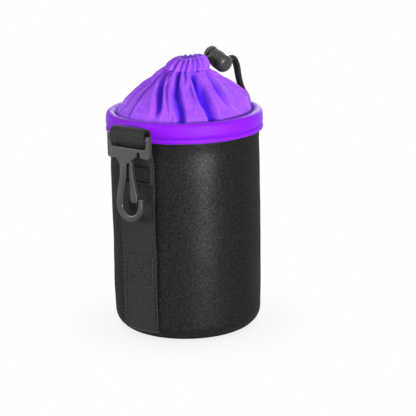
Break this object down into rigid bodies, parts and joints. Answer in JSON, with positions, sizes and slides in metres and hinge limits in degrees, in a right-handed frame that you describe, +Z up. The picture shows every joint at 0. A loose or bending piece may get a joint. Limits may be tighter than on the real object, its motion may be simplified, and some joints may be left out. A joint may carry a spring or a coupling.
{
  "type": "drawstring lens pouch",
  "caption": "Padded round pouch with a bound rim, a gathered drawstring collar with a sprung cord lock, and a webbing belt strap that carries a hanging snap hook",
  "frame": {"origin": "middle of the base, on the plane that the pouch stands on", "axes": "+Z is up along the pouch's axis; -Y is the side with the strap and the hook; +X is to the right when the strap is faced from the front"},
  "size_m": [0.095, 0.1077, 0.1691],
  "materials": {
    "neoprene": "knit-faced padded neoprene, matte black",
    "purple_cloth": "woven synthetic cloth with a soft sheen, purple",
    "purple_thread": "sewing thread, purple",
    "black_thread": "sewing thread and tape, black",
    "lining": "short-pile lining, dark grey",
    "foam": "closed-cell foam, dark grey",
    "webbing": "ribbed woven webbing, black",
    "cord": "braided cord, black",
    "black_plastic": "moulded plastic with a satin face, black",
    "spring_steel": "spring wire"
  },
  "bodies": {
    "pouch": {"neoprene_wall": "neoprene", "base_panel": "neoprene", "base_seam_tape": "black_thread", "base_pad": "foam", "base_lining": "lining", "lining_sleeve": "lining", "rim_binding": "purple_cloth", "rim_stitch": "purple_thread", "collar_cloth": "purple_cloth", "collar_hem": "purple_cloth", "hem_stitch": "purple_thread", "drawstring_ring": "cord", "drawstring_tail_left": "cord", "drawstring_tail_right": "cord", "tail_knot": "cord", "side_strap": "webbing", "strap_cross_stitch": "black_thread", "strap_box_stitch": "black_thread", "strap_edge_stitch_left": "black_thread", "strap_edge_stitch_right": "black_thread"},
    "hook": {"snap_hook": "black_plastic"},
    "gate": {"hook_gate": "black_plastic"},
    "lock": {"lock_barrel": "black_plastic", "lock_spring": "spring_steel"},
    "plunger": {"lock_plunger": "black_plastic"}
  },
  "joints": [
    {"name": "hook_swing", "type": "hinge", "parent": "pouch", "child": "hook", "pos_m": [0, -0.0532, 0.127], "axis": [-1, 0, 0], "range_deg": [-1.5, 150]},
    {"name": "gate_flex", "type": "hinge", "parent": "hook", "child": "gate", "pos_m": [0.0012, -0.0532, 0.1137], "axis": [0, 1, 0], "range_deg": [0, 14], "stiffness_Nm_per_rad": 0.1},
    {"name": "lock_slide", "type": "slide", "parent": "pouch", "child": "lock", "axis": [0.2746, 0.9576, -0.0872], "range_m": [0, 0.0055]},
    {"name": "plunger_press", "type": "slide", "parent": "lock", "child": "plunger", "axis": [0.8951, -0.2877, -0.3407], "range_m": [0, 0.0024], "stiffness_N_per_m": 400, "springref_m": -0.004, "deforming": ["lock_spring"]}
  ]
}
